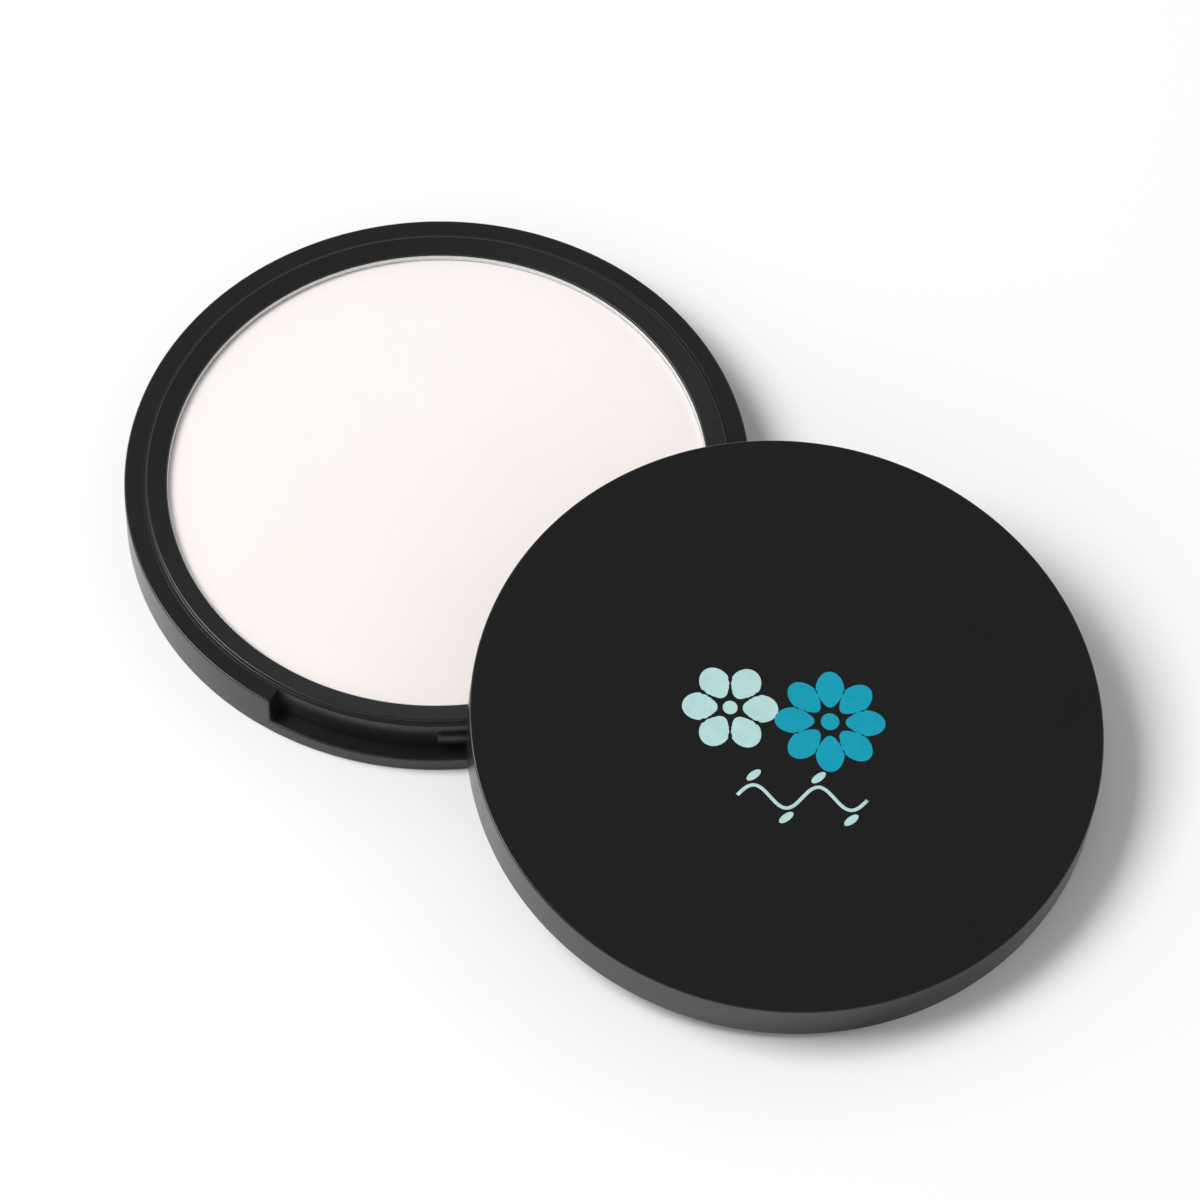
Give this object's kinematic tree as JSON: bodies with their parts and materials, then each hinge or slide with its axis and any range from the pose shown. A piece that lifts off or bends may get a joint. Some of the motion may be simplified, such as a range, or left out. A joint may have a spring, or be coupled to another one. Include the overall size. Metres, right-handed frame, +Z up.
{
  "type": "powder compact",
  "caption": "Slim round black powder compact: open case with an aluminium pan of pressed powder and a finger notch, and a lift-off lid with a mirror leaning beside it.",
  "frame": {"origin": "centre of the case's flat underside, on the surface it stands on", "axes": "+Z up through the open case; -Y towards the middle of the finger notch; the lid leans on the -Y, +X side"},
  "size_m": [0.1014, 0.1082, 0.0145],
  "materials": {
    "case_plastic": "satin moulded black, fine even surface",
    "collar_plastic": "satin moulded black",
    "lid_plastic": "satin moulded black with a thin printed motif in pale aqua and teal",
    "frame_plastic": "matte moulded black",
    "pan_aluminium": "drawn sheet, satin",
    "pressed_powder": "pressed powder, very pale pink, fully matte",
    "mirror_glass": "silvered flat glass",
    "foam_tape": "white double-sided foam tape",
    "clear_glue": "set clear glue"
  },
  "bodies": {
    "case": {"case_shell": "case_plastic", "pan_collar": "collar_plastic", "pan_glue": "clear_glue", "powder_pan": "pan_aluminium", "powder_cake": "pressed_powder"},
    "lid": {"lid_shell": "lid_plastic", "mirror_glue": "foam_tape", "lid_mirror": "mirror_glass", "mirror_frame": "frame_plastic"}
  },
  "joints": [
    {"name": "lid_lift", "type": "slide", "parent": "case", "child": "lid", "axis": [0, 0, 1], "range_m": [0, 0.04]}
  ]
}
